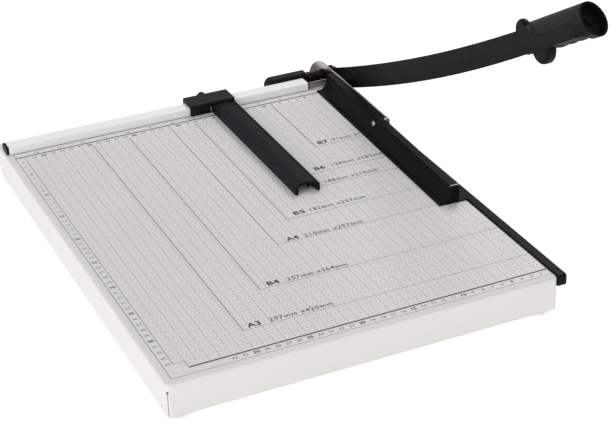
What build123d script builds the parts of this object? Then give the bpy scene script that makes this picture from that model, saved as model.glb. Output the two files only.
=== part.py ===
from build123d import *
import os
from math import cos, radians, sin

os.makedirs("parts", exist_ok=True)

# Guillotine paper cutter for sheets up to A3. Millimetres, +Z up, front towards -Y.
# The origin is on the table under the middle of the whole outline, arm raised.

# Datum: where the cutting plane, the zero line of the rulers and the board's top lie
cut_x = 181.2
rule_y = 209.8
board_z = 38.0

# Base tray, measured from the datum
tray_left, tray_right = -386.7, -8.4
tray_front, tray_back = -467.2, 37.0
tray_height = 34.0
sheet = 1.2
fold_radius = 3.0
corner_radius = 4.0
lip_width = 18.0
slit_width, slit_top, slit_relief_radius = 0.8, -9.0, 1.4
notch_left, notch_front, notch_depth = -11.4, 9.0, 24.0
well_left, well_front, well_back, well_depth = -31.5, 16.2, 33.0, 10.5

# Stiffening ribs under the board
rib_width, rib_depth, rib_flange = 28.0, 13.0, 10.0
rib_lines = {"rib_front": -330.0, "rib_rear": -130.0}

# Feet
foot_radius, foot_inset = 9.0, 13.0
foot_height = board_z - tray_height
foot_screw_radius = 2.0

# Bed knife
knife_width, knife_height, knife_proud = 8.4, 11.6, 0.6
knife_rear = 7.5
knife_screw_lines = [-440.0, -330.0, -220.0, -110.0, -12.0]
knife_screw_z = -6.5

# Fence
fence_left, fence_right = -382.0, -38.2
fence_front, fence_back, fence_height = 4.3, 20.3, 8.3
fence_wall = 1.4
fence_screw_lines = [-350.0, -210.0, -70.0]

# Angle beside the fence, with its rivets
angle_left, angle_right = -36.1, -13.6
angle_front, angle_foot, angle_height, angle_wall = 6.4, 9.0, 7.3, 1.5
angle_rivet_y, angle_rivet_lines = 11.4, [-32.0, -18.0]

# Pivot, shared by the arm and the press lever
pivot_y, pivot_z = 28.0, 4.8
bolt_radius = 3.0
running_fit = 0.05
side_gap = 0.1

# Pivot block behind the fence
block_left, block_right = -80.0, -32.0
block_front, block_back, block_height = 22.2, 33.4, 12.4
block_bore_depth = 22.0
block_screw_lines = [-74.0, -62.0]

# Press lever and press bar
lever_left, lever_thickness = -9.8, 2.0
bar_angle = 1.55
bar_rear_left, bar_rear = -31.6, -4.0
bar_length, bar_width, bar_height = 298.1, 31.0, 18.3
bar_flange = 1.6
bar_block_right = 21.3
bar_trim = -9.0
rivet_y, rivet_z = -130.0, 12.2
rivet_seat, rivet_head = -23.8, 3.2
rear_rivet_y, rear_rivet_end = -16.0, -16.8
clip_from_end = 3.2

# Blade arm, raised
arm_left, arm_thickness = 0.1, 3.0
root_radius = 7.6
bevel_across, bevel_up = 2.5, 5.0

# Handle
handle_slope = 30.0
handle_y, handle_z = -375.0, 191.5
handle_left, handle_width = 0.3, 24.0
grip_low, grip_high = -12.8, 16.5
grip_start, flare_start, flare_end = 3.0, 95.0, 103.0
shoulder_start, shoulder_end, shoulder_low, shoulder_high = 9.0, 33.0, 0.5, 12.7
seat_low = -12.2
end_low, end_high = -15.8, 16.5
end_along, end_slope = 109.0, 20.0
recess_wall, recess_depth = 1.9, 8.0
plate_half, plate_end = 11.4, 13.0
tang_high, tang_start, tang_end = 1.0, 29.0, 94.0
guard_thickness, guard_round = 11.2, 3.4
finger_places, finger_pitch = [49.7, 67.4, 85.1], 17.7
finger_axis, finger_low, finger_notch = -3.4, -14.4, -13.0

# Side stop
stop_left, stop_right = -179.5, -127.9
stop_front, stop_back, stop_top = 0.4, 26.0, 12.5
stop_gap = 0.5
stop_arm_left, stop_arm_end = -154.6, -217.0
stop_arm_top, stop_arm_wall = 9.0, 3.0
knob_x, knob_z, knob_radius = -155.0, 6.3, 4.9
pin_x, pin_y, pin_radius = -155.8, 1.5, 0.9


def side_plane(x):
    """Sketch (y, z) from the datum; extrudes towards +X."""
    return Plane(origin=(cut_x + x, rule_y, board_z), x_dir=(0, 1, 0), z_dir=(1, 0, 0))


def top_plane(z):
    """Sketch (x, y) from the datum; extrudes towards +Z."""
    return Plane(origin=(cut_x, rule_y, board_z + z), x_dir=(1, 0, 0), z_dir=(0, 0, 1))


def front_plane(y):
    """Sketch (x, z) from the datum; extrudes towards -Y."""
    return Plane(origin=(cut_x, rule_y + y, board_z), x_dir=(1, 0, 0), z_dir=(0, -1, 0))


def middle(a, b):
    return (a + b) / 2


tray_middle = (middle(tray_left, tray_right), middle(tray_front, tray_back))
tray_width, tray_depth = tray_right - tray_left, tray_back - tray_front
foot_places = {
    "foot_front_left": (tray_left + foot_inset, tray_front + foot_inset),
    "foot_front_right": (tray_right - foot_inset, tray_front + foot_inset),
    "foot_rear_left": (tray_left + foot_inset, tray_back - foot_inset),
    "foot_rear_right": (tray_right - foot_inset - 22.0, tray_back - foot_inset),
}

# ---------------------------------------------------------------- base tray
with BuildPart() as base_tray:
    with BuildSketch(top_plane(-tray_height)):
        with Locations(tray_middle):
            RectangleRounded(tray_width, tray_depth, corner_radius)
    extrude(amount=tray_height)
    fillet(base_tray.faces().sort_by(Axis.Z)[-1].edges(), fold_radius)
    offset(amount=-sheet, openings=base_tray.faces().sort_by(Axis.Z)[0])
    # lips folded inwards along the bottom
    with BuildSketch(top_plane(-tray_height)):
        with Locations(tray_middle):
            RectangleRounded(tray_width, tray_depth, corner_radius)
            RectangleRounded(
                tray_width - 2 * lip_width, tray_depth - 2 * lip_width, corner_radius, mode=Mode.SUBTRACT
            )
    extrude(amount=sheet)
    # relief slits with round ends, where the walls meet at a corner
    for corner_x, corner_y, out_x, out_y in (
        (tray_left, tray_front, -1, -1),
        (tray_right, tray_front, 1, -1),
        (tray_left, tray_back, -1, 1),
    ):
        corner_plane = Plane(
            origin=(cut_x + corner_x, rule_y + corner_y, board_z),
            x_dir=(-out_y, out_x, 0),
            z_dir=(out_x, out_y, 0),
        )
        with BuildSketch(corner_plane):
            with Locations((0, slit_top)):
                Rectangle(slit_width, tray_height, align=(Align.CENTER, Align.MAX))
                Circle(slit_relief_radius)
        extrude(amount=12, both=True, mode=Mode.SUBTRACT)
    # notch for the press lever at the back right corner
    with BuildSketch(top_plane(-notch_depth)):
        with Locations((notch_left, notch_front)):
            Rectangle(20, 60, align=(Align.MIN, Align.MIN))
    extrude(amount=notch_depth + sheet, mode=Mode.SUBTRACT)
    # well under the pivot's spring
    with BuildSketch(top_plane(-2 * sheet)):
        with Locations((well_left, well_front)):
            Rectangle(notch_left - well_left + 1, well_back - well_front, align=(Align.MIN, Align.MIN))
    extrude(amount=3 * sheet, mode=Mode.SUBTRACT)
    # screw holes: fence, pivot block, corner angle
    with BuildSketch(top_plane(-2 * sheet)):
        with Locations([(x, middle(fence_front, fence_back)) for x in fence_screw_lines]):
            Circle(2.0)
        with Locations([(x, pivot_y) for x in block_screw_lines]):
            Circle(2.0)
        with Locations([(x, angle_rivet_y) for x in angle_rivet_lines]):
            Circle(1.6)
    extrude(amount=3 * sheet, mode=Mode.SUBTRACT)
    # screw holes: feet
    with BuildSketch(top_plane(-tray_height - 1)):
        with Locations(list(foot_places.values())):
            Circle(foot_screw_radius + running_fit)
    extrude(amount=sheet + 2, mode=Mode.SUBTRACT)
    # screw holes: bed knife
    with BuildSketch(side_plane(tray_right - 2 * sheet)):
        with Locations([(y, knife_screw_z) for y in knife_screw_lines]):
            Circle(2.0)
    extrude(amount=3 * sheet, mode=Mode.SUBTRACT)
base_tray.part.label = "base_tray"
export_step(base_tray.part, "parts/base_tray.step")

# ---------------------------------------------------------------- pan under the pivot's well
pan_wall, pan_margin = 1.2, 1.0
with BuildPart() as pivot_pan:
    with BuildSketch(top_plane(-sheet)):
        with Locations((well_left - pan_margin, well_front - pan_margin)):
            Rectangle(
                notch_left - 0.3 - well_left + pan_margin,
                well_back - well_front + 2 * pan_margin,
                align=(Align.MIN, Align.MIN),
            )
    extrude(amount=-well_depth)
    fillet(pivot_pan.faces().sort_by(Axis.Z)[0].edges(), 1.8)
    offset(amount=-pan_wall, openings=pivot_pan.faces().sort_by(Axis.Z)[-1])
pivot_pan.part.label = "pivot_pan"
export_step(pivot_pan.part, "parts/pivot_pan.step")

# ---------------------------------------------------------------- stiffening ribs
for rib_name, rib_y in rib_lines.items():
    with BuildPart() as rib:
        with BuildSketch(side_plane(tray_left + 6.0)):
            with Locations((rib_y, -sheet)):
                Rectangle(rib_width, rib_depth, align=(Align.CENTER, Align.MAX))
                Rectangle(rib_width + 2 * rib_flange, sheet, align=(Align.CENTER, Align.MAX))
                Rectangle(
                    rib_width - 2 * sheet,
                    rib_depth - sheet,
                    align=(Align.CENTER, Align.MAX),
                    mode=Mode.SUBTRACT,
                )
        extrude(amount=tray_width - 12.0)
    rib.part.label = rib_name
    export_step(rib.part, f"parts/{rib_name}.step")

# ---------------------------------------------------------------- feet
for foot_name, foot_place in foot_places.items():
    with BuildPart() as foot:
        with BuildSketch(top_plane(-tray_height)):
            with Locations(foot_place):
                Circle(foot_radius)
        extrude(amount=-foot_height, taper=8)
        fillet(foot.edges().sort_by(Axis.Z)[0], 0.8)
        with BuildSketch(top_plane(-board_z)):
            with Locations(foot_place):
                Circle(4.4)
        extrude(amount=2.4, mode=Mode.SUBTRACT)
        with BuildSketch(top_plane(-board_z)):
            with Locations(foot_place):
                Circle(foot_screw_radius + running_fit)
        extrude(amount=foot_height, mode=Mode.SUBTRACT)
    foot.part.label = foot_name
    export_step(foot.part, f"parts/{foot_name}.step")

with BuildPart() as foot_screws:
    with BuildSketch(top_plane(-board_z + 0.8)):
        with Locations(list(foot_places.values())):
            Circle(3.8)
    extrude(amount=1.6)
    with BuildSketch(top_plane(-board_z + 2.0)):
        with Locations(list(foot_places.values())):
            Circle(foot_screw_radius)
    extrude(amount=8.0)
    with BuildSketch(top_plane(-board_z + 0.8)):
        for foot_place in foot_places.values():
            with Locations(foot_place):
                Rectangle(4.4, 0.9)
                Rectangle(0.9, 4.4)
    extrude(amount=0.9, mode=Mode.SUBTRACT)
foot_screws.part.label = "foot_screws"
export_step(foot_screws.part, "parts/foot_screws.step")

with BuildPart() as foot_nuts:
    with BuildSketch(top_plane(-tray_height + sheet)):
        with Locations(list(foot_places.values())):
            RegularPolygon(3.5, 6, major_radius=False)
            Circle(foot_screw_radius + running_fit, mode=Mode.SUBTRACT)
    extrude(amount=3.0)
foot_nuts.part.label = "foot_nuts"
export_step(foot_nuts.part, "parts/foot_nuts.step")

# ---------------------------------------------------------------- bed knife
with BuildPart() as bed_knife:
    with BuildSketch(side_plane(-knife_width)) as knife_side:
        with Locations((middle(tray_front - 0.6, knife_rear), knife_proud)):
            Rectangle(knife_rear - tray_front + 0.6, knife_height, align=(Align.CENTER, Align.MAX))
        fillet(knife_side.vertices().group_by(Axis.X)[0], 2.4)
        fillet(knife_side.vertices().group_by(Axis.X)[-1], 1.2)
    extrude(amount=knife_width)
    # ease every long edge but the cutting one
    chamfer(bed_knife.edges().filter_by(Axis.Y).sort_by(Axis.Z)[-2:].sort_by(Axis.X)[0], 0.5)
    with BuildSketch(side_plane(-knife_width)):
        with Locations([(y, knife_screw_z) for y in knife_screw_lines]):
            Circle(1.7)
    extrude(amount=6.0, mode=Mode.SUBTRACT)
bed_knife.part.label = "bed_knife"
export_step(bed_knife.part, "parts/bed_knife.step")

with BuildPart() as bed_knife_screws:
    with BuildSketch(side_plane(tray_right - sheet - 2.2)):
        with Locations([(y, knife_screw_z) for y in knife_screw_lines]):
            Circle(3.4)
    extrude(amount=2.2)
    with BuildSketch(side_plane(tray_right - sheet - 0.4)):
        with Locations([(y, knife_screw_z) for y in knife_screw_lines]):
            Circle(1.65)
    extrude(amount=6.6)
    with BuildSketch(side_plane(tray_right - sheet - 2.2)):
        with Locations([(y, knife_screw_z) for y in knife_screw_lines]):
            Rectangle(0.9, 4.4)
            Rectangle(4.4, 0.9)
    extrude(amount=1.2, mode=Mode.SUBTRACT)
bed_knife_screws.part.label = "bed_knife_screws"
export_step(bed_knife_screws.part, "parts/bed_knife_screws.step")

# ---------------------------------------------------------------- fence
fence_y, fence_depth = middle(fence_front, fence_back), fence_back - fence_front
with BuildPart() as fence_rail:
    with BuildSketch(side_plane(fence_left)) as fence_section:
        with Locations((fence_y, fence_height / 2)):
            RectangleRounded(fence_depth, fence_height, 0.9)
            Rectangle(fence_depth - 2 * fence_wall, fence_height - 2 * fence_wall, mode=Mode.SUBTRACT)
    extrude(amount=fence_right - fence_left)
    with BuildSketch(top_plane(-1)):
        with Locations([(x, fence_y) for x in fence_screw_lines]):
            Circle(1.7)
    extrude(amount=fence_wall + 2, mode=Mode.SUBTRACT)
fence_rail.part.label = "fence_rail"
export_step(fence_rail.part, "parts/fence_rail.step")

cap_plug_depth = 7.0
for cap_name, cap_from, cap_to, plug_to in (
    ("fence_cap_left", fence_left, fence_left - 3.0, fence_left + cap_plug_depth),
    ("fence_cap_right", fence_right, fence_right + 2.0, fence_right - cap_plug_depth),
):
    with BuildPart() as fence_cap:
        with BuildSketch(side_plane(cap_from)):
            with Locations((fence_y, fence_height / 2)):
                RectangleRounded(fence_depth, fence_height, 1.6)
        extrude(amount=cap_to - cap_from)
        outer_face = fence_cap.faces().sort_by(Axis.X)[0 if cap_to < cap_from else -1]
        fillet(outer_face.edges(), 1.0 if cap_to < cap_from else 0.5)
        with BuildSketch(side_plane(cap_from)):
            with Locations((fence_y, fence_height / 2)):
                Rectangle(fence_depth - 2 * fence_wall - 0.2, fence_height - 2 * fence_wall - 0.2)
        extrude(amount=plug_to - cap_from)
    fence_cap.part.label = cap_name
    export_step(fence_cap.part, f"parts/{cap_name}.step")

with BuildPart() as fence_screws:
    with BuildSketch(top_plane(-sheet)):
        with Locations([(x, fence_y) for x in fence_screw_lines]):
            Circle(3.4)
    extrude(amount=-2.0)
    with BuildSketch(top_plane(-sheet)):
        with Locations([(x, fence_y) for x in fence_screw_lines]):
            Circle(1.65)
    extrude(amount=sheet + fence_height - fence_wall - 1.0)
    with BuildSketch(top_plane(-sheet - 2.0)):
        for x in fence_screw_lines:
            with Locations((x, fence_y)):
                Rectangle(4.4, 0.9)
                Rectangle(0.9, 4.4)
    extrude(amount=1.0, mode=Mode.SUBTRACT)
fence_screws.part.label = "fence_screws"
export_step(fence_screws.part, "parts/fence_screws.step")

# ---------------------------------------------------------------- corner angle beside the fence
with BuildPart() as corner_angle:
    with BuildSketch(side_plane(angle_left)) as angle_section:
        with Locations((angle_front, 0)):
            Rectangle(angle_foot, angle_wall, align=(Align.MIN, Align.MIN))
            Rectangle(angle_wall, angle_height, align=(Align.MIN, Align.MIN))
        fillet(angle_section.vertices().sort_by_distance((angle_front, 0, 0))[0], 1.2)
    extrude(amount=angle_right - angle_left)
    with BuildSketch(top_plane(0)):
        with Locations([(x, angle_rivet_y) for x in angle_rivet_lines]):
            Circle(1.6)
    extrude(amount=angle_wall, mode=Mode.SUBTRACT)
corner_angle.part.label = "corner_angle"
export_step(corner_angle.part, "parts/corner_angle.step")

with BuildPart() as corner_rivets:
    for rivet_from, rivet_size, rivet_length in (
        (angle_wall, 2.8, 0.9),
        (-sheet, 1.55, sheet + angle_wall),
        (-sheet, 2.8, -0.9),
    ):
        with BuildSketch(top_plane(rivet_from)):
            with Locations([(x, angle_rivet_y) for x in angle_rivet_lines]):
                Circle(rivet_size)
        extrude(amount=rivet_length)
    fillet(corner_rivets.edges().filter_by(GeomType.CIRCLE).group_by(Axis.Z)[-1], 0.7)
corner_rivets.part.label = "corner_rivets"
export_step(corner_rivets.part, "parts/corner_rivets.step")

# ---------------------------------------------------------------- pivot block
with BuildPart() as pivot_block:
    with BuildSketch(front_plane(block_back)) as block_front_view:
        with Locations((block_left, 0)):
            Rectangle(block_right - block_left, block_height, align=(Align.MIN, Align.MIN))
        fillet(block_front_view.vertices().group_by(Axis.Y)[-1].sort_by(Axis.X)[0], 8.0)
    extrude(amount=block_back - block_front)
    for block_side in (pivot_block.faces().sort_by(Axis.Y)[0], pivot_block.faces().sort_by(Axis.Y)[-1]):
        fillet(block_side.edges().filter_by(lambda edge: edge.center().Z > board_z + 1), 1.8)
    with BuildSketch(side_plane(block_right)):
        with Locations((pivot_y, pivot_z)):
            Circle(bolt_radius + running_fit)
    extrude(amount=-block_bore_depth, mode=Mode.SUBTRACT)
    with BuildSketch(top_plane(0)):
        with Locations([(x, pivot_y) for x in block_screw_lines]):
            Circle(1.7)
    extrude(amount=7.0, mode=Mode.SUBTRACT)
pivot_block.part.label = "pivot_block"
export_step(pivot_block.part, "parts/pivot_block.step")

with BuildPart() as pivot_block_screws:
    with BuildSketch(top_plane(-sheet)):
        with Locations([(x, pivot_y) for x in block_screw_lines]):
            Circle(3.4)
    extrude(amount=-2.0)
    with BuildSketch(top_plane(-sheet)):
        with Locations([(x, pivot_y) for x in block_screw_lines]):
            Circle(1.65)
    extrude(amount=sheet + 6.5)
pivot_block_screws.part.label = "pivot_block_screws"
export_step(pivot_block_screws.part, "parts/pivot_block_screws.step")

# ---------------------------------------------------------------- pivot bolt, nut, spring, washers
head_from, head_to = 4.3, 8.3
with BuildPart() as pivot_bolt:
    with BuildSketch(side_plane(block_right - block_bore_depth + 0.5)):
        with Locations((pivot_y, pivot_z)):
            Circle(bolt_radius)
    extrude(amount=head_from - block_right + block_bore_depth - 0.5)
    with BuildSketch(side_plane(head_from)):
        with Locations((pivot_y, pivot_z)):
            RegularPolygon(4.5, 6, major_radius=False)
    extrude(amount=head_to - head_from)
    chamfer(pivot_bolt.faces().sort_by(Axis.X)[-1].edges(), 0.7)
pivot_bolt.part.label = "pivot_bolt"
export_step(pivot_bolt.part, "parts/pivot_bolt.step")

nut_from, nut_to = -29.0, -24.0
with BuildPart() as lock_nut:
    with BuildSketch(side_plane(nut_from)):
        with Locations((pivot_y, pivot_z)):
            RegularPolygon(4.6, 6, major_radius=False)
    extrude(amount=nut_to - nut_from)
    chamfer(lock_nut.faces().sort_by(Axis.X)[0].edges(), 0.5)
    chamfer(lock_nut.faces().sort_by(Axis.X)[-1].edges(), 0.5)
    with BuildSketch(side_plane(nut_from - 1)):
        with Locations((pivot_y, pivot_z)):
            Circle(bolt_radius + running_fit)
    extrude(amount=nut_to - nut_from + 2, mode=Mode.SUBTRACT)
lock_nut.part.label = "lock_nut"
export_step(lock_nut.part, "parts/lock_nut.step")

spring_from, spring_to, coil_radius, wire_radius = -22.9, -11.9, 4.0, 0.7
with BuildPart() as pivot_spring:
    with BuildLine() as coil:
        Helix(
            pitch=2.2,
            height=spring_to - spring_from,
            radius=coil_radius,
            center=(cut_x + spring_from, rule_y + pivot_y, board_z + pivot_z),
            direction=(1, 0, 0),
        )
    with BuildSketch(Plane(origin=coil.line @ 0, z_dir=coil.line % 0)):
        Circle(wire_radius)
    sweep(is_frenet=True)
pivot_spring.part.label = "pivot_spring"
export_step(pivot_spring.part, "parts/pivot_spring.step")

with BuildPart() as pivot_washers:
    for washer_from, washer_radius in (
        (lever_left - side_gap - 1.0, 6.0),
        (arm_left + arm_thickness + side_gap, 5.6),
    ):
        with BuildSketch(side_plane(washer_from)):
            with Locations((pivot_y, pivot_z)):
                Circle(washer_radius)
                Circle(bolt_radius + running_fit, mode=Mode.SUBTRACT)
        extrude(amount=1.0)
pivot_washers.part.label = "pivot_washers"
export_step(pivot_washers.part, "parts/pivot_washers.step")

spacer_from = lever_left + lever_thickness + side_gap
with BuildPart() as pivot_spacer:
    with BuildSketch(side_plane(spacer_from)):
        with Locations((pivot_y, pivot_z)):
            Circle(5.0)
            Circle(bolt_radius + running_fit, mode=Mode.SUBTRACT)
    extrude(amount=arm_left - side_gap - spacer_from)
pivot_spacer.part.label = "pivot_spacer"
export_step(pivot_spacer.part, "parts/pivot_spacer.step")

# ---------------------------------------------------------------- press lever
with BuildPart() as press_lever:
    with BuildSketch(side_plane(lever_left)) as lever_side:
        with BuildLine():
            lever_top = Line((-135.4, 16.6), (22.0, 18.6))
            lever_tail = ThreePointArc(lever_top @ 1, (48.2, 10.9), (62.2, -4.2))
            lever_turn = ThreePointArc(lever_tail @ 1, (61.6, -9.6), (56.0, -11.6))
            Polyline(lever_turn @ 1, (15.0, -11.6), (9.6, 2.8), (-130.0, 2.8), lever_top @ 0)
        make_face()
        with Locations((pivot_y, pivot_z)):
            Circle(bolt_radius + running_fit, mode=Mode.SUBTRACT)
        with Locations((rivet_y, rivet_z), (rear_rivet_y, rivet_z)):
            Circle(1.9, mode=Mode.SUBTRACT)
    extrude(amount=lever_thickness)
    fillet(press_lever.faces().sort_by(Axis.X)[0].outer_wire().edges(), 0.35)
    fillet(press_lever.faces().sort_by(Axis.X)[-1].outer_wire().edges(), 0.35)
press_lever.part.label = "press_lever"
export_step(press_lever.part, "parts/press_lever.step")

# ---------------------------------------------------------------- press bar, angled a little to the cut
bar_turn = radians(bar_angle)
bar_start = Plane(
    origin=(cut_x + bar_rear_left, rule_y + bar_rear, board_z),
    x_dir=(cos(bar_turn), -sin(bar_turn), 0),
    z_dir=(-sin(bar_turn), -cos(bar_turn), 0),
)
with BuildPart() as press_bar:
    with BuildSketch(bar_start):
        with BuildLine():
            Polyline((5.4, bar_flange), (0.6, bar_flange), (0, 1.0), (0, 0), (bar_width, 0))
            Polyline((bar_width, 0), (bar_width, bar_flange), (bar_block_right, bar_flange))
            Line((bar_block_right, bar_flange), (bar_block_right, bar_height - 1.0))
            RadiusArc((bar_block_right, bar_height - 1.0), (bar_block_right - 1.0, bar_height), -1.0)
            Polyline((bar_block_right - 1.0, bar_height), (12.9, bar_height), (12.9, 17.3), (12.1, 17.3))
            Line((12.1, 17.3), (12.1, 14.5))
            ThreePointArc((12.1, 14.5), (10.4, 6.6), (5.4, bar_flange))
        make_face()
    extrude(amount=bar_length)
    # the flange stops short of the bed knife
    with BuildSketch(top_plane(-1)):
        with Locations((bar_trim, middle(tray_front, tray_back))):
            Rectangle(40, tray_depth, align=(Align.MIN, Align.CENTER))
    extrude(amount=bar_height + 2, mode=Mode.SUBTRACT)
    # groove for the clip
    with BuildSketch(bar_start.offset(bar_length - clip_from_end)):
        with Locations((0, bar_height - 0.7)):
            Rectangle(40, 5, align=(Align.MIN, Align.MIN))
    extrude(amount=1.4, mode=Mode.SUBTRACT)
    # seats for the rivets
    with BuildSketch(side_plane(bar_rear_left - 10)):
        with Locations((rivet_y, rivet_z)):
            Circle(rivet_head + 0.3)
    extrude(amount=rivet_seat - bar_rear_left + 10, mode=Mode.SUBTRACT)
    with BuildSketch(side_plane(bar_rear_left - 10)):
        with Locations((rivet_y, rivet_z)):
            Circle(1.9)
    extrude(amount=30, mode=Mode.SUBTRACT)
    with BuildSketch(side_plane(rear_rivet_end - 0.3)):
        with Locations((rear_rivet_y, rivet_z)):
            Circle(1.9)
    extrude(amount=15, mode=Mode.SUBTRACT)
press_bar.part.label = "press_bar"
export_step(press_bar.part, "parts/press_bar.step")

lever_right = lever_left + lever_thickness
with BuildPart() as press_bar_rivets:
    # front rivet: round head on the bar, shoulder between bar and lever, flat head on the lever
    for disc_from, disc_to, disc_radius in (
        (rivet_seat - 1.8, rivet_seat, rivet_head),
        (rivet_seat - 0.5, lever_right, 1.85),
        (-13.4, lever_left, 3.6),
        (lever_right, lever_right + 1.2, 3.6),
    ):
        with BuildSketch(side_plane(disc_from)):
            with Locations((rivet_y, rivet_z)):
                Circle(disc_radius)
        extrude(amount=disc_to - disc_from)
    fillet(press_bar_rivets.edges().filter_by(GeomType.CIRCLE).group_by(Axis.X)[0], 1.5)
    # rear rivet, blind in the bar
    for disc_from, disc_to, disc_radius in (
        (rear_rivet_end, lever_right, 1.85),
        (lever_right, lever_right + 1.2, 3.6),
    ):
        with BuildSketch(side_plane(disc_from)):
            with Locations((rear_rivet_y, rivet_z)):
                Circle(disc_radius)
        extrude(amount=disc_to - disc_from)
press_bar_rivets.part.label = "press_bar_rivets"
export_step(press_bar_rivets.part, "parts/press_bar_rivets.step")

with BuildPart() as press_bar_clip:
    with BuildSketch(bar_start.offset(bar_length - clip_from_end + 0.05)):
        with Locations((12.6, bar_height - 0.7)):
            Rectangle(bar_block_right - 12.6 + 0.3, 1.2, align=(Align.MIN, Align.MIN))
    extrude(amount=1.3)
press_bar_clip.part.label = "press_bar_clip"
export_step(press_bar_clip.part, "parts/press_bar_clip.step")

# ---------------------------------------------------------------- handle frame
handle_turn = radians(handle_slope)
handle_along = (0, -cos(handle_turn), sin(handle_turn))


def handle_side(x):
    """Sketch (along the handle, across it) from the arm's end; extrudes towards -X."""
    return Plane(
        origin=(cut_x + x, rule_y + handle_y, board_z + handle_z), x_dir=handle_along, z_dir=(-1, 0, 0)
    )


def handle_section(along):
    """Sketch (x from the handle's middle, across it); extrudes towards the handle's end."""
    handle_middle = cut_x + handle_left + handle_width / 2
    return Plane(
        origin=(
            handle_middle,
            rule_y + handle_y - along * cos(handle_turn),
            board_z + handle_z + along * sin(handle_turn),
        ),
        x_dir=(1, 0, 0),
        z_dir=handle_along,
    )


# ---------------------------------------------------------------- blade arm
arm_right = arm_left + arm_thickness


def plate_outline(start, spare):
    """Sketch the arm's plate narrowing to its tang, with room to spare all round."""
    Polygon(
        (start, plate_half + spare),
        (plate_end + spare, plate_half + spare),
        (tang_start + spare, tang_high + spare),
        (tang_end + spare, tang_high + spare),
        (tang_end + spare, -plate_half - spare),
        (start, -plate_half - spare),
        align=None,
    )


with BuildPart() as blade_arm:
    with BuildSketch(side_plane(arm_left)):
        with BuildLine():
            arm_top = ThreePointArc((16.0, 14.1), (-181.3, 103.0), (-360.4, 196.3))
            Line(arm_top @ 1, (-388.0, 185.7))
            arm_edge = ThreePointArc((-388.0, 185.7), (-227.2, 98.5), (16.0, -10.2))
            Line(arm_edge @ 1, arm_top @ 0)
        make_face()
        Polygon((16, 14.1), (23, 10), (34, 1), (27, -8.5), (22, -11.2), (16, -10.2), align=None)
        with Locations((pivot_y, pivot_z)):
            Circle(root_radius)
    extrude(amount=arm_thickness)
    # ground bevel on the outer side of the cutting edge
    bevel_edge = (
        blade_arm.faces().sort_by(Axis.X)[-1].edges().sort_by_distance(
            (cut_x + arm_right, rule_y - 227.2, board_z + 98.5)
        )[0]
    )
    chamfer(bevel_edge, bevel_across, bevel_up)
    # plate and tang let into the handle
    with BuildSketch(handle_side(arm_right)):
        plate_outline(-12.0, 0)
        with Locations((-12.0, 0)):
            Rectangle(20.0, plate_half, align=(Align.MIN, Align.MAX), mode=Mode.SUBTRACT)
        Polygon((-12.0, 0), (8.0, 0), (8.0, -plate_half), align=None)
    extrude(amount=arm_thickness)
    with BuildSketch(side_plane(arm_left - 1)):
        with Locations((pivot_y, pivot_z)):
            Circle(bolt_radius + running_fit)
    extrude(amount=arm_thickness + 2, mode=Mode.SUBTRACT)
blade_arm.part.label = "blade_arm"
export_step(blade_arm.part, "parts/blade_arm.step")

# ---------------------------------------------------------------- handle
grip_middle, grip_half = middle(grip_low, grip_high), (grip_high - grip_low) / 2
end_middle, end_half = middle(end_low, end_high), (end_high - end_low) / 2
half_width = handle_width / 2
end_turn = radians(handle_slope + end_slope)
end_lean = cos(radians(end_slope))


def grip_outline():
    """The grip's section: an ellipse, squared off at the lower left beside the tang."""
    with BuildSketch(mode=Mode.PRIVATE) as outline:
        with Locations((0, grip_middle)):
            Ellipse(half_width, grip_half)
        with Locations((-half_width, seat_low)):
            Rectangle(half_width, grip_middle - seat_low, align=(Align.MIN, Align.MIN))
        fillet(outline.vertices().sort_by_distance((-half_width, seat_low, 0))[0], 3.0)
    return outline.sketch


def end_plane(along):
    """Sketch (x from the handle's middle, up the leaning end face)."""
    return Plane(
        origin=handle_section(along).origin,
        x_dir=(1, 0, 0),
        z_dir=(0, -cos(end_turn), sin(end_turn)),
    )


def finger_guard(along, across, half_length, half_height, from_x):
    """A rounded ear beside the grip."""
    with BuildPart(mode=Mode.PRIVATE) as guard:
        with BuildSketch(handle_side(handle_left + guard_thickness)):
            with Locations((along, across)):
                Ellipse(half_length, half_height)
        extrude(amount=handle_left + guard_thickness - from_x)
        fillet(guard.edges(), guard_round)
    return guard.part


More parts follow.
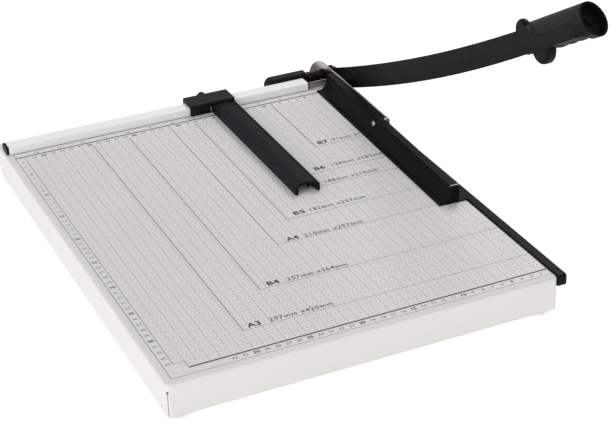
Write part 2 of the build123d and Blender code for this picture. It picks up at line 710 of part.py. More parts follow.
with BuildPart() as handle:
    with BuildSketch(handle_section(grip_start)):
        add(grip_outline())
    extrude(amount=flare_start - grip_start)
    # the end widens into an oval, cut off at a slope
    with BuildSketch(handle_section(flare_start)):
        add(grip_outline())
    with BuildSketch(handle_section(flare_end)):
        with Locations((0, end_middle)):
            Ellipse(half_width, end_half)
    loft()
    with BuildSketch(handle_section(flare_end)):
        with Locations((0, end_middle)):
            Ellipse(half_width, end_half)
    extrude(amount=end_along - flare_end + 10.0)
    with BuildSketch(end_plane(end_along)):
        Rectangle(3 * handle_width, 3 * handle_width)
    extrude(amount=30.0, mode=Mode.SUBTRACT)
    # shoulder above the arm's plate, sloping down to the tang
    with BuildSketch(handle_side(handle_left + half_width)):
        Polygon(
            (shoulder_start, shoulder_low),
            (shoulder_start, shoulder_high),
            (plate_end + 2.0, shoulder_high),
            (shoulder_end, shoulder_low),
            align=None,
        )
    extrude(amount=half_width)
    add(finger_guard(-1.5, 10.8, 10.6, 10.4, arm_right + 0.6))
    add(finger_guard(28.0, -10.2, 14.6, 14.5, handle_left + 0.6))
    # swellings between the fingers
    with BuildSketch(handle_side(handle_left + half_width)):
        with BuildLine():
            first, last = finger_places[0] - finger_pitch / 2, finger_places[-1] + finger_pitch / 2
            Polyline((first, finger_notch), (first, finger_axis), (last, finger_axis), (last, finger_notch))
            for place in finger_places:
                ThreePointArc(
                    (place - finger_pitch / 2, finger_notch),
                    (place, finger_low),
                    (place + finger_pitch / 2, finger_notch),
                )
        make_face()
    finger_line = handle_side(handle_left + half_width).location * Location((0, finger_axis, 0))
    revolve(axis=Axis(finger_line.position, handle_along))
    # hollow end
    with BuildSketch(end_plane(end_along - recess_depth)):
        with Locations((0, end_middle / end_lean)):
            Ellipse(half_width - recess_wall, (end_half - recess_wall) / end_lean)
    extrude(amount=30.0, dir=handle_along, mode=Mode.SUBTRACT)
    # seat for the arm's plate and its tang, open on the cutting side
    with BuildSketch(handle_side(arm_right + running_fit)):
        plate_outline(-30.0, 4 * running_fit)
    extrude(amount=arm_thickness + 2, mode=Mode.SUBTRACT)
    # hole for the end screw
    with BuildSketch(end_plane(end_along - recess_depth)):
        Circle(2.0)
    extrude(amount=-16.0, mode=Mode.SUBTRACT)
handle.part.label = "handle"
export_step(handle.part, "parts/handle.step")

with BuildPart() as handle_screw:
    with BuildSketch(end_plane(end_along - recess_depth)):
        Circle(3.6)
    extrude(amount=1.8)
    fillet(handle_screw.edges().filter_by(GeomType.CIRCLE).sort_by(Axis.Z)[-1], 0.9)
    with BuildSketch(end_plane(end_along - recess_depth)):
        Circle(1.95)
    extrude(amount=-15.0)
    with BuildSketch(end_plane(end_along - recess_depth).offset(1.8)):
        Rectangle(4.2, 0.9)
        Rectangle(0.9, 4.2)
    extrude(amount=-0.9, mode=Mode.SUBTRACT)
handle_screw.part.label = "handle_screw"
export_step(handle_screw.part, "parts/handle_screw.step")

# ---------------------------------------------------------------- side stop
with BuildPart() as stop_head:
    with BuildSketch(side_plane(stop_left)) as head_section:
        with Locations((stop_front, stop_gap)):
            Rectangle(stop_back - stop_front, stop_top - stop_gap, align=(Align.MIN, Align.MIN))
        fillet(head_section.vertices().group_by(Axis.Y)[-1], 1.2)
        with Locations((fence_front - 0.4, stop_gap)):
            Rectangle(
                fence_depth + 1.0,
                fence_height - stop_gap + 0.4,
                align=(Align.MIN, Align.MIN),
                mode=Mode.SUBTRACT,
            )
    extrude(amount=stop_right - stop_left)
    fillet(stop_head.faces().sort_by(Axis.Z)[-1].edges().filter_by(Axis.Y), 1.0)
    # pocket in the front wall, around the pin
    with BuildSketch(front_plane(stop_front + 2.2)):
        with Locations((-169.0, 1.6)):
            Rectangle(16.4, 8.2, align=(Align.MIN, Align.MIN))
    extrude(amount=4, mode=Mode.SUBTRACT)
    # seat for the stop arm's tongue
    with BuildSketch(front_plane(stop_front + 3.2)):
        with Locations((-151.2, stop_gap)):
            Rectangle(20.4, 6.7, align=(Align.MIN, Align.MIN))
    extrude(amount=4, mode=Mode.SUBTRACT)
    # hole for the pin in the pocket's floor
    with BuildSketch(top_plane(stop_gap)):
        with Locations((pin_x, pin_y)):
            Circle(pin_radius + running_fit)
    extrude(amount=2, mode=Mode.SUBTRACT)
    # threaded hole for the knob
    with BuildSketch(front_plane(stop_back + 1)):
        with Locations((knob_x, knob_z)):
            Circle(2.08)
    extrude(amount=8, mode=Mode.SUBTRACT)
stop_head.part.label = "stop_head"
export_step(stop_head.part, "parts/stop_head.step")

stop_arm_middle, stop_arm_width = middle(stop_arm_left, stop_right), stop_right - stop_arm_left
with BuildPart() as stop_arm:
    # inverted channel with a crowned top between two low rims
    with BuildSketch(front_plane(stop_front)) as channel:
        with BuildLine():
            Polyline((stop_arm_left, stop_arm_top - 1.2), (stop_arm_left, stop_gap), (stop_right, stop_gap))
            Line((stop_right, stop_gap), (stop_right, stop_arm_top - 1.2))
            RadiusArc((stop_right, stop_arm_top - 1.2), (stop_right - 1.2, stop_arm_top), -1.2)
            Line((stop_right - 1.2, stop_arm_top), (stop_right - 2.6, stop_arm_top))
            Line((stop_right - 2.6, stop_arm_top), (stop_right - 3.0, stop_arm_top - 0.5))
            ThreePointArc(
                (stop_right - 3.0, stop_arm_top - 0.5),
                (stop_arm_middle, stop_arm_top + 0.7),
                (stop_arm_left + 3.0, stop_arm_top - 0.5),
            )
            Line((stop_arm_left + 3.0, stop_arm_top - 0.5), (stop_arm_left + 2.6, stop_arm_top))
            Line((stop_arm_left + 2.6, stop_arm_top), (stop_arm_left + 1.2, stop_arm_top))
            RadiusArc((stop_arm_left + 1.2, stop_arm_top), (stop_arm_left, stop_arm_top - 1.2), -1.2)
        make_face()
    extrude(amount=stop_front - stop_arm_end)
    # arched hollow underneath, open at the front end
    hollow_half = stop_arm_width / 2 - stop_arm_wall
    with BuildSketch(front_plane(stop_front - 4)):
        with BuildLine():
            arch = ThreePointArc(
                (stop_arm_middle - hollow_half, stop_arm_top - 3.6),
                (stop_arm_middle, stop_arm_top - 2.0),
                (stop_arm_middle + hollow_half, stop_arm_top - 3.6),
            )
            Polyline(
                arch @ 1, (stop_arm_middle + hollow_half, 0), (stop_arm_middle - hollow_half, 0), arch @ 0
            )
        make_face()
    extrude(amount=stop_front - 4 - stop_arm_end, mode=Mode.SUBTRACT)
    # the top is cut back in a curve at the front end
    with BuildSketch(top_plane(0)):
        with Locations((stop_arm_middle, stop_arm_end)):
            Ellipse(hollow_half - 0.4, 6.5)
    extrude(amount=stop_arm_top + 2, mode=Mode.SUBTRACT)
    # tongue held in the head
    with BuildSketch(front_plane(stop_front + 3.1)):
        with Locations((-151.1, stop_gap + 0.05)):
            Rectangle(20.2, 6.5, align=(Align.MIN, Align.MIN))
    extrude(amount=3.1 + 4.0)
stop_arm.part.label = "stop_arm"
export_step(stop_arm.part, "parts/stop_arm.step")

with BuildPart() as stop_pin:
    with BuildSketch(top_plane(stop_gap + 0.1)):
        with Locations((pin_x, pin_y)):
            Circle(pin_radius)
    extrude(amount=6.6)
stop_pin.part.label = "stop_pin"
export_step(stop_pin.part, "parts/stop_pin.step")

# ---------------------------------------------------------------- thumb screw behind the stop
knob_front, knob_back = stop_back + 0.4, stop_back + 8.4
with BuildPart() as stop_knob:
    with BuildSketch(front_plane(knob_back)):
        with Locations((knob_x, knob_z)):
            Circle(knob_radius)
            with PolarLocations(knob_radius + 0.35, 18):
                Circle(0.7, mode=Mode.SUBTRACT)
    extrude(amount=knob_back - knob_front - 1.5)
    with BuildSketch(front_plane(knob_front + 1.5)):
        with Locations((knob_x, knob_z)):
            Circle(4.2)
    extrude(amount=1.5)
    with BuildSketch(front_plane(knob_front)):
        with Locations((knob_x, knob_z)):
            Circle(2.0)
    extrude(amount=knob_front - fence_back - 0.3)
stop_knob.part.label = "stop_knob"
export_step(stop_knob.part, "parts/stop_knob.step")
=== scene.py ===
from math import cos, radians, sin

import bmesh
import bpy
from mathutils import Matrix, Vector


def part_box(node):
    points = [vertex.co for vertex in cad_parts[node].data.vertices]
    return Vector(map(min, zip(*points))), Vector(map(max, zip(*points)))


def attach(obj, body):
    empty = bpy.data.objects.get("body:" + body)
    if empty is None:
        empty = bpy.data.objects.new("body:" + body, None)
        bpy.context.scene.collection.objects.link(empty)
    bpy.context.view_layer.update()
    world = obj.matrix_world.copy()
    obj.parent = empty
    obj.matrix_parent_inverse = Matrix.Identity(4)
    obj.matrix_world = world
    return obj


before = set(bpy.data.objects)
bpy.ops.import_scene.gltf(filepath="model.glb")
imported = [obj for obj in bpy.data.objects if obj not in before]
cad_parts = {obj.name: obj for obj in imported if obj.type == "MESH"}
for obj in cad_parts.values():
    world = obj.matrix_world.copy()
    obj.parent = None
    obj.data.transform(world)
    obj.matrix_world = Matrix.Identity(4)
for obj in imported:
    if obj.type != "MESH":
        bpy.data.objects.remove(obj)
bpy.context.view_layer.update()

MM = 0.001
ZERO_TO_FENCE = 4.3  # the rulers' zero lies this far in front of the fence's face
CUT_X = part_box("bed_knife")[1][0]
RULE_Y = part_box("fence_rail")[0][1] - ZERO_TO_FENCE * MM
BOARD_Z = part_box("base_tray")[1][2]


def at(x, y, z=0.0):
    """A point in metres from millimetres off the cut, the rulers' zero and the board's top."""
    return Vector((CUT_X + x * MM, RULE_Y + y * MM, BOARD_Z + z * MM))


# ---------------------------------------------------------------- material nodes
CLOUD_LOW, CLOUD_HIGH = 0.3, 0.7  # most of a noise texture's values lie between these
ROUGH_SPREAD = 0.08
SMOOTHEST = 0.03
HIGHLIGHT_RADIUS = 0.9 * MM
HIGHLIGHT_STARTS, HIGHLIGHT_FULL = 0.985, 0.90  # cosine between an edge's rounded normal and its face's
HIGHLIGHT_PATCH, REFLECTION_PATCH = 3.0, 5.0  # millimetres
HIGHLIGHT_GONE, HIGHLIGHT_THERE = 0.42, 0.62  # noise values where the painted edge highlight is broken up and where it is whole
GLOSS_PATCH = 0.35  # as a part of the mottle's size
REFLECTION_RAGGED = 6 * MM  # how far patches of the painted dark reflection and shade reach above and below their level
WHITE = (1.0, 1.0, 1.0, 1.0)


def node(tree, kind, **values):
    made = tree.nodes.new("ShaderNode" + kind)
    for name, value in values.items():
        if name in made.inputs:
            made.inputs[name].default_value = value
        else:
            setattr(made, name, value)
    return made


def remap(tree, value, low, high, to_low=0.0, to_high=1.0):
    made = node(tree, "MapRange")
    for name, end in {"From Min": low, "From Max": high, "To Min": to_low, "To Max": to_high}.items():
        made.inputs[name].default_value = end
    tree.links.new(value, made.inputs["Value"])
    return made.outputs["Result"]


def painted_over(tree, base, color, amount):
    blend = node(tree, "Mix", data_type="RGBA")
    base_in, color_in, color_out = blend.inputs[6], blend.inputs[7], blend.outputs[2]
    tree.links.new(amount, blend.inputs["Factor"])
    tree.links.new(base, base_in)
    color_in.default_value = (*color, 1)
    return color_out


def worn_edges(tree, cloud):
    """1 on sharp edges and 0 elsewhere, broken up by a fine noise: the mask of a painted edge highlight.
    """
    bevel = node(tree, "Bevel", Radius=HIGHLIGHT_RADIUS, samples=4)
    shape = node(tree, "NewGeometry")
    turn = node(tree, "VectorMath", operation="DOT_PRODUCT")
    tree.links.new(bevel.outputs["Normal"], turn.inputs[0])
    tree.links.new(shape.outputs["Normal"], turn.inputs[1])
    both = node(tree, "Math", operation="MULTIPLY")
    tree.links.new(remap(tree, turn.outputs["Value"], HIGHLIGHT_STARTS, HIGHLIGHT_FULL), both.inputs[0])
    tree.links.new(remap(tree, cloud(HIGHLIGHT_PATCH, 3.0), HIGHLIGHT_GONE, HIGHLIGHT_THERE), both.inputs[1])
    return both.outputs["Value"]


def dirt_below(tree, place, cloud, low, high):
    """1 below the height low and 0 above high, with a ragged boundary: the mask of a painted dark
    reflection and shade.
    """
    height = node(tree, "SeparateXYZ")
    tree.links.new(place.outputs["Object"], height.inputs["Vector"])
    ragged = node(tree, "Math", operation="MULTIPLY_ADD")
    ragged.inputs[1].default_value = REFLECTION_RAGGED
    tree.links.new(cloud(REFLECTION_PATCH, 4.0), ragged.inputs[0])
    tree.links.new(height.outputs["Z"], ragged.inputs[2])
    return remap(tree, ragged.outputs["Value"], high + REFLECTION_RAGGED / 2, low + REFLECTION_RAGGED / 2)


def surface(
    name, color, rough, mottle, mottle_size, grain, grain_size=1.0, metallic=0.0, specular=0.5,
    streak=(1.0, 1.0, 1.0), edge=None, dark_reflection=None, glow=0.0,
):
    """A procedural material.

    Sizes are in millimetres, and grain is the bump's height in hundredths of one. streak scales the
    noise along each axis, edge is the color of a painted highlight on sharp edges, dark_reflection is a
    painted dark reflection and shade as (low, high, color) with heights in metres, and glow is a faint
    white emission.
    """
    made = bpy.data.materials.new(name)
    made.use_nodes = True
    tree = made.node_tree
    shader = tree.nodes["Principled BSDF"]
    shader.inputs["Metallic"].default_value = metallic
    shader.inputs["Specular IOR Level"].default_value = specular
    if glow:
        shader.inputs["Emission Color"].default_value = WHITE
        shader.inputs["Emission Strength"].default_value = glow
    place = node(tree, "TexCoord")
    stretch = node(tree, "Mapping", Scale=streak)
    tree.links.new(place.outputs["Object"], stretch.inputs["Vector"])

    def cloud(size, detail):
        noise = node(tree, "TexNoise", Scale=1000.0 / size, Detail=detail, Roughness=0.55)
        tree.links.new(stretch.outputs["Vector"], noise.inputs["Vector"])
        return noise.outputs["Fac"]

    tone = node(tree, "ValToRGB")
    darkest, lightest = tone.color_ramp.elements
    darkest.position, lightest.position = CLOUD_LOW, CLOUD_HIGH
    darkest.color = [c * (1 - mottle) for c in color] + [1]
    lightest.color = [min(1.0, c * (1 + mottle)) for c in color] + [1]
    tree.links.new(cloud(mottle_size, 4.0), tone.inputs["Fac"])
    base = tone.outputs["Color"]
    # Sharp edges get a lighter color: a painted highlight.
    if edge:
        base = painted_over(tree, base, edge, worn_edges(tree, cloud))
    # A painted dark reflection and shade, darker towards the bottom of the part.
    if dark_reflection:
        low, high, reflection_color = dark_reflection
        base = painted_over(tree, base, reflection_color, dirt_below(tree, place, cloud, low, high))
    tree.links.new(base, shader.inputs["Base Color"])
    smoother, rougher = max(SMOOTHEST, rough - ROUGH_SPREAD), min(1.0, rough + ROUGH_SPREAD)
    gloss = remap(tree, cloud(mottle_size * GLOSS_PATCH, 5.0), CLOUD_LOW, CLOUD_HIGH, smoother, rougher)
    tree.links.new(gloss, shader.inputs["Roughness"])
    bump = node(tree, "Bump", Strength=1.0, Distance=grain * MM / 100)
    tree.links.new(cloud(grain_size, 3.0), bump.inputs["Height"])
    tree.links.new(bump.outputs["Normal"], shader.inputs["Normal"])
    return made


# ---------------------------------------------------------------- finishes of the CAD nodes
TRAY = surface(
    "tray_powder_coat", (0.80, 0.787, 0.76), 0.5, mottle=0.012, mottle_size=90, grain=2.0, grain_size=1.6,
)
# The fence's faint white glow is painted light, making it brighter than the lamps alone do.
FENCE = surface(
    "fence_coat_painted_glow", (0.92, 0.93, 0.93), 0.42, mottle=0.012, mottle_size=60, grain=1.0, grain_size=2.2,
    glow=0.07,
)
BLACK = surface(
    "black_plastic", (0.0085, 0.009, 0.0105), 0.5, mottle=0.2, mottle_size=14, grain=3.5, grain_size=0.5,
    specular=0.15,
)
STOP_BLACK = surface(
    "stop_arm_plastic", (0.0075, 0.0092, 0.0108), 0.48, mottle=0.2, mottle_size=14, grain=3.5,
    grain_size=0.5, specular=0.08,
)
BAR = surface(
    "black_extrusion", (0.0048, 0.0048, 0.0056), 0.38, mottle=0.15, mottle_size=25, grain=2.0,
    grain_size=0.8, streak=(1.0, 0.08, 1.0), edge=(0.02, 0.02, 0.023), specular=0.07,
)
HANDLE = surface(
    "handle_plastic", (0.0052, 0.0055, 0.0064), 0.46, mottle=0.2, mottle_size=12, grain=4.0,
    grain_size=0.45, specular=0.1,
)
BLADE = surface(
    "blade_black_steel", (0.0066, 0.0066, 0.0072), 0.4, mottle=0.2, mottle_size=30, grain=1.6,
    grain_size=1.2, edge=(0.04, 0.04, 0.041), specular=0.07,
)
PLATED = {
    "color": (0.44, 0.41, 0.36), "rough": 0.34, "metallic": 1.0, "mottle": 0.08, "mottle_size": 22,
    "grain": 1.2, "streak": (1.0, 0.12, 1.0),
}
NICKEL = surface("nickel_plate", edge=(0.72, 0.69, 0.62), **PLATED)
# A painted dark reflection and shade on the lever's lower part, where it mirrors the dark parts beside it:
# darkest near 7 mm above the board, gone by about 17 mm.
LEVER_DARK_REFLECTION = (BOARD_Z + 7 * MM, BOARD_Z + 17 * MM, (0.036, 0.028, 0.022))
LEVER = surface("lever_nickel", edge=(0.78, 0.74, 0.66), dark_reflection=LEVER_DARK_REFLECTION, **PLATED)
ZINC = surface(
    "zinc_plate", (0.55, 0.55, 0.53), 0.33, metallic=1.0, mottle=0.1, mottle_size=5, grain=1.0,
    grain_size=0.6,
)
DARK_STEEL = surface(
    "oiled_steel", (0.024, 0.021, 0.019), 0.42, metallic=0.5, mottle=0.25, mottle_size=4, grain=1.0,
    specular=0.3,
)
STEEL = surface(
    "rolled_steel", (0.5, 0.5, 0.49), 0.4, metallic=0.9, mottle=0.08, mottle_size=30, grain=1.0,
    streak=(0.1, 1.0, 1.0),
)
RUBBER = surface(
    "foot_rubber", (0.02, 0.02, 0.021), 0.75, mottle=0.2, mottle_size=6, grain=5.0, grain_size=0.7,
    specular=0.3,
)

CAD_FINISH = {
    TRAY: ["base_tray"],
    FENCE: ["fence_rail"],
    BLACK: ["fence_cap_left", "fence_cap_right", "pivot_block", "stop_head", "stop_knob"],
    STOP_BLACK: ["stop_arm"],
    BAR: ["press_bar"],
    HANDLE: ["handle"],
    # pivot_pan, in the well under the pivot, is black so that the well reads dark: a dark sheet standing
    # in for painted shade.
    BLADE: ["blade_arm", "bed_knife", "pivot_pan", "handle_screw"],
    NICKEL: ["press_bar_clip", "corner_angle"],
    LEVER: ["press_lever"],
    ZINC: [
        "press_bar_rivets", "corner_rivets", "stop_pin",
        "bed_knife_screws", "fence_screws", "pivot_block_screws", "foot_screws", "foot_nuts",
    ],
    DARK_STEEL: ["lock_nut", "pivot_spring", "pivot_bolt", "pivot_washers", "pivot_spacer"],
    STEEL: ["rib_front", "rib_rear"],
    RUBBER: ["foot_front_left", "foot_front_right", "foot_rear_left", "foot_rear_right"],
}
for material, names in CAD_FINISH.items():
    for name in names:
        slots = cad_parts[name].data.materials
        slots.clear()
        slots.append(material)

EASED_EDGES = {
    "stop_head": 0.5, "stop_arm": 0.45, "fence_rail": 0.3, "press_bar": 0.35, "bed_knife": 0.25,
    "press_bar_clip": 0.15, "corner_angle": 0.2, "stop_knob": 0.25, "blade_arm": 0.25,
}
for name, width in EASED_EDGES.items():
    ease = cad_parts[name].modifiers.new("ease", "BEVEL")
    ease.width = width * MM
    ease.segments = 2
    ease.limit_method = "ANGLE"
    ease.angle_limit = radians(35)
    ease.harden_normals = True


# ---------------------------------------------------------------- printing
INK = surface(
    "printing_ink", (0.03, 0.03, 0.033), 0.55, mottle=0.25, mottle_size=3, grain=0.3, grain_size=0.8,
)
PALE_INK = surface(
    "pale_printing_ink", (0.06, 0.058, 0.056), 0.6, mottle=0.25, mottle_size=6, grain=0.3, grain_size=0.8,
)
# Prints stand this far proud of the board, each kind at its own height where they cross.
GRID_HIGH, TICK_HIGH, LINE_HIGH = 0.03, 0.035, 0.04
PRINT_LOW = -0.01
LETTER_HALF_THICK = 0.02
CAP_HEIGHT = 0.70  # of the built-in font, as a part of its size
WELD = 1e-6  # metres


def printed(name, mesh, ink):
    """A piece of print on the board."""
    mesh.name = name
    obj = bpy.data.objects.new(name, mesh)
    bpy.context.scene.collection.objects.link(obj)
    mesh.materials.clear()
    mesh.materials.append(ink)
    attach(obj, "base")


class Sheet:
    """Collects closed flat prints that reach a few hundredths of a millimetre above the board."""

    def __init__(self, high):
        self.high = high
        self.verts, self.faces = [], []

    def bar(self, x0, y0, x1, y1):
        start = len(self.verts)
        for z in (PRINT_LOW, self.high):
            self.verts += [at(x0, y0, z), at(x1, y0, z), at(x1, y1, z), at(x0, y1, z)]
        for quad in ((3, 2, 1, 0), (4, 5, 6, 7), (0, 1, 5, 4), (1, 2, 6, 5), (2, 3, 7, 6), (3, 0, 4, 7)):
            self.faces.append([start + i for i in quad])

    def across(self, x0, x1, y, width):
        self.bar(min(x0, x1), y - width / 2, max(x0, x1), y + width / 2)

    def along(self, y0, y1, x, width):
        self.bar(x - width / 2, min(y0, y1), x + width / 2, max(y0, y1))

    def dot(self, x, y, wide, deep):
        """A low pyramid, which takes fewer faces than a bar."""
        start = len(self.verts)
        corners = ((-1, -1), (1, -1), (1, 1), (-1, 1))
        self.verts += [at(x + i * wide / 2, y + j * deep / 2, PRINT_LOW) for i, j in corners]
        self.verts.append(at(x, y, self.high))
        self.faces.append([start + 3, start + 2, start + 1, start])
        self.faces += [[start + i, start + (i + 1) % 4, start + 4] for i in range(4)]

    def print_as(self, name, ink=INK):
        mesh = bpy.data.meshes.new(name)
        mesh.from_pydata(self.verts, [], self.faces)
        printed(name, mesh, ink)


def words(text, height, x, y, bold=0.0, spread=1.2, align="CENTER", spacing=1.0, length=None):
    """A closed mesh of one line of print, with x, y at the middle or the start of its foot.

    spread widens the letters. A length, in millimetres, sets the spread instead.
    """
    curve = bpy.data.curves.new("words", "FONT")
    curve.body = text
    curve.size = height / CAP_HEIGHT
    curve.align_x = align
    curve.resolution_u = 3
    curve.offset = bold
    curve.space_character = spacing
    curve.extrude = LETTER_HALF_THICK
    obj = bpy.data.objects.new("words", curve)
    bpy.context.scene.collection.objects.link(obj)
    bpy.context.view_layer.update()
    mesh = bpy.data.meshes.new_from_object(obj.evaluated_get(bpy.context.evaluated_depsgraph_get()))
    bpy.data.objects.remove(obj)
    if length:
        spread = length / max(vertex.co.x for vertex in mesh.vertices)
    foot = Matrix.Translation(at(x, y, LETTER_HALF_THICK))
    mesh.transform(foot @ Matrix.Diagonal((spread * MM, MM, MM, 1)))
    return mesh


def print_words(name, meshes):
    """Joins lines of print into one piece."""
    bm = bmesh.new()
    for mesh in meshes:
        bm.from_mesh(mesh)
        bpy.data.meshes.remove(mesh)
    bmesh.ops.remove_doubles(bm, verts=bm.verts, dist=WELD)
    merged = bpy.data.meshes.new(name)
    bm.to_mesh(merged)
    bm.free()
    printed(name, merged, INK)


# The border: x is off the cut and y off the rulers' zero, both in millimetres. Each line's last number
# is its width.
RIGHT, LEFT_OUT, LEFT_IN = -10.6, -379.1, -369.7
BACK_TOP, BACK_LINE, FRONT_LINE, FRONT_OUT = 3.8, -6.7, -450.5, -460.7
CORNER_X, CORNER_Y = -359.5, -440.0  # the step at the front left, where the two rulers end

border = Sheet(LINE_HIGH)
border.along(BACK_TOP, FRONT_OUT, RIGHT, 0.35)
border.along(BACK_TOP, FRONT_OUT, LEFT_OUT, 0.45)
border.along(BACK_LINE, CORNER_Y, LEFT_IN, 0.3)
border.across(LEFT_IN, CORNER_X, CORNER_Y, 0.25)
border.along(CORNER_Y, FRONT_LINE, CORNER_X, 0.25)
# The back line in front of the fence is partly print and partly a painted contact shadow under the fence's
# front edge.
border.across(LEFT_OUT, RIGHT, BACK_TOP - 0.8, 0.8)
border.across(LEFT_OUT, RIGHT, FRONT_OUT, 0.4)
for offset, width in ((0.5, 0.35), (-0.35, 1.2)):
    border.across(LEFT_OUT, RIGHT, BACK_LINE + offset, width)
    border.across(CORNER_X, RIGHT, FRONT_LINE + offset, width)
border.print_as("print_border")

# The paper formats: name, width, depth, then where its name and its size stand from its corner.
FORMATS = [
    ("A3", 297, 420, 6.1, 2.6, 26.8, 3.0),
    ("B4", 257, 364, 9.0, 3.0, 28.5, 2.6),
    ("A4", 210, 297, 11.5, 1.8, 29.5, 1.2),
    ("B5", 182, 257, 10.0, 4.8, 26.4, 5.0),
    ("A5", 148, 210, 11.0, 4.0, 30.3, 4.0),
    ("B6", 128, 182, 13.6, 5.6, 32.4, 6.6),
    ("B7", 91, 128, 5.0, 3.8, 22.0, 4.4),
]
FORMAT_BACK = -16.2  # the outlines start in front of the back ruler's numbers
NAME = {"height": 6.5, "bold": 0.3, "align": "LEFT", "spacing": 1.1, "length": 12.3}
SIZE = {"height": 5.6, "bold": 0.09, "align": "LEFT", "spacing": 1.2}
SIZE_LETTER = 5.08  # one letter's part of a size's length
outlines = Sheet(LINE_HIGH)
names, sizes = [], []
for name, wide, deep, name_x, name_y, size_x, size_y in FORMATS:
    outlines.along(FORMAT_BACK, -deep, -wide, 0.62)
    outlines.across(-wide, RIGHT, -deep, 0.4)
    names.append(words(name, x=name_x - wide, y=name_y - deep, **NAME))
    size = f"{wide}mm x{deep}mm"
    size_length = SIZE_LETTER * len(size)
    sizes.append(words(size, x=size_x - wide, y=size_y - deep, length=size_length, **SIZE))
outlines.print_as("print_formats")
print_words("print_format_names", names)
print_words("print_format_sizes", sizes)

# The rulers' numbers. A style is a height and a boldness.
CM, INCH = 10, 25.4
RULER_NUMBER, RULER_FIFTH = (3.2, 0.0), (3.6, 0.16)
SIDE_NUMBER, SIDE_FIFTH = (2.8, 0.0), (3.2, 0.14)
INCH_NUMBER = (3.0, 0.01)
BACK_FOOT, FRONT_FOOT, INCH_FOOT = -13.9, -457.2, -4.6
SIDE_MIDDLE, SIDE_DROP = -374.4, 0.4
LAST_BACK_CM, LAST_FRONT_CM, LAST_SIDE_CM, LAST_INCH = 36, 32, 44, 14
numbers = []
for cm in range(1, LAST_BACK_CM + 1):
    height, bold = RULER_NUMBER if cm % 5 else RULER_FIFTH
    numbers.append(words(str(cm), height, -CM * cm, BACK_FOOT, bold))
    if cm <= LAST_FRONT_CM:
        numbers.append(words(str(cm), height, -CM * cm, FRONT_FOOT, bold))
for cm in range(1, LAST_SIDE_CM + 1):
    height, bold = SIDE_NUMBER if cm % 5 else SIDE_FIFTH
    numbers.append(words(str(cm), height, SIDE_MIDDLE, -CM * cm - SIDE_DROP, bold))
for inch in range(1, LAST_INCH + 1):
    height, bold = INCH_NUMBER
    numbers.append(words(str(inch), height, -INCH * inch, INCH_FOOT, bold))
print_words("print_numbers", numbers)

# The rulers' ticks. Lengths are for a whole unit, a half and the steps between.
TICK_WIDE, TICK_GAP = 0.14, 0.6


def tick_length(count, per_unit, lengths):
    whole, half, step = lengths
    if count % per_unit == 0:
        return whole
    return half if count % (per_unit // 2) == 0 else step


ticks = Sheet(TICK_HIGH)
for mm in range(11, 360):
    length = tick_length(mm, 10, (2.4, 1.8, 1.1))
    for line in (BACK_LINE, FRONT_LINE):
        ticks.along(line - TICK_GAP, line - TICK_GAP - length, -mm, TICK_WIDE)
for mm in range(17, 441):
    ticks.across(LEFT_IN, LEFT_IN - tick_length(mm, 10, (2.0, 1.5, 0.9)), -mm, TICK_WIDE)
for eighth in range(4, 119):
    length = tick_length(eighth, 8, (2.2, 1.6, 1.0))
    ticks.along(BACK_TOP, BACK_TOP - length, -INCH * eighth / 8, TICK_WIDE)
ticks.print_as("print_ticks")

GRID_LEFT, GRID_RIGHT, GRID_BACK, GRID_FRONT = -368, -12, -18, -449


def print_grid(name, columns, rows, first, step, column_dot, row_dot):
    """Dotted columns and rows, with a dot at first and then at each step; a dot is its width and depth."""
    grid = Sheet(GRID_HIGH)
    for x in columns:
        for y in range(GRID_FRONT + first, GRID_BACK, step):
            grid.dot(x, y, *column_dot)
    for y in rows:
        for x in range(GRID_LEFT + first, GRID_RIGHT, step):
            grid.dot(x, y, *row_dot)
    grid.print_as(name, PALE_INK)


print_grid("print_grid", range(-360, -14, CM), range(-440, -19, CM), 2, 4, (0.7, 2.2), (1.3, 0.8))
print_grid("print_grid_fine", range(-365, -14, CM), range(-445, -19, CM), 0, 3, (0.5, 0.6), (0.6, 0.6))

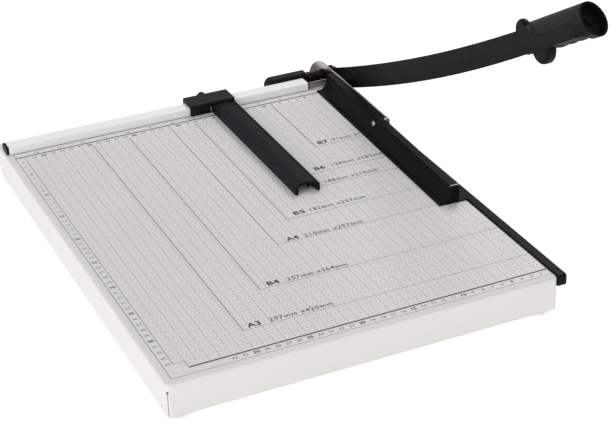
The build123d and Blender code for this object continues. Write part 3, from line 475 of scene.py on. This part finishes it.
# ---------------------------------------------------------------- floor, camera, light
FLOOR = surface(
    "studio_floor", (0.93, 0.93, 0.93), 0.9, mottle=0.004, mottle_size=300, grain=0.0, specular=0.1,
    glow=0.42,
)
FLOOR_HALF = 12.0
floor_shape = bmesh.new()
bmesh.ops.create_grid(floor_shape, x_segments=1, y_segments=1, size=FLOOR_HALF)
floor_mesh = bpy.data.meshes.new("floor")
floor_shape.to_mesh(floor_mesh)
floor_shape.free()
floor_mesh.materials.append(FLOOR)
floor = bpy.data.objects.new("floor", floor_mesh)
bpy.context.scene.collection.objects.link(floor)

AZIMUTH, ELEVATION, ROLL = radians(-24.01), radians(28.69), radians(-1.77)
DISTANCE = 1.6623
SENSOR, FOCAL_LENGTH = 36.0, 100.68235
AIM = at(-159.2, -251.05, 0.8)
back = Vector((sin(AZIMUTH) * cos(ELEVATION), -cos(AZIMUTH) * cos(ELEVATION), sin(ELEVATION)))
level = (-back).cross(Vector((0, 0, 1))).normalized()
above = level.cross(-back)
right = cos(ROLL) * level + sin(ROLL) * above
up = -sin(ROLL) * level + cos(ROLL) * above
lens = bpy.data.cameras.new("camera")
lens.sensor_width = SENSOR
lens.lens = FOCAL_LENGTH
lens.clip_end = 100.0
camera = bpy.data.objects.new("camera", lens)
turned = Matrix((right, up, back)).transposed().to_4x4()
camera.matrix_world = Matrix.Translation(AIM + back * DISTANCE) @ turned
bpy.context.scene.collection.objects.link(camera)
bpy.context.scene.camera = camera

world = bpy.data.worlds.new("studio")
bpy.context.scene.world = world
world.use_nodes = True
world.node_tree.nodes["Background"].inputs["Color"].default_value = WHITE
world.node_tree.nodes["Background"].inputs["Strength"].default_value = 0.56

LAMP_TARGET = Vector((0, 0, 0.03))


def lamp(name, place, size, power):
    data = bpy.data.lights.new(name, "AREA")
    data.shape = "DISK"
    data.size = size
    data.energy = power
    obj = bpy.data.objects.new(name, data)
    obj.location = place
    obj.rotation_euler = (LAMP_TARGET - Vector(place)).to_track_quat("-Z", "Y").to_euler()
    bpy.context.scene.collection.objects.link(obj)


lamp("key", (1.3, 1.2, 1.9), 1.0, 15)
lamp("side", (-2.4, -1.0, 0.9), 1.6, 16)
lamp("front", (-0.9, -2.6, 1.0), 1.4, 4)
bpy.context.scene.view_settings.view_transform = "Standard"
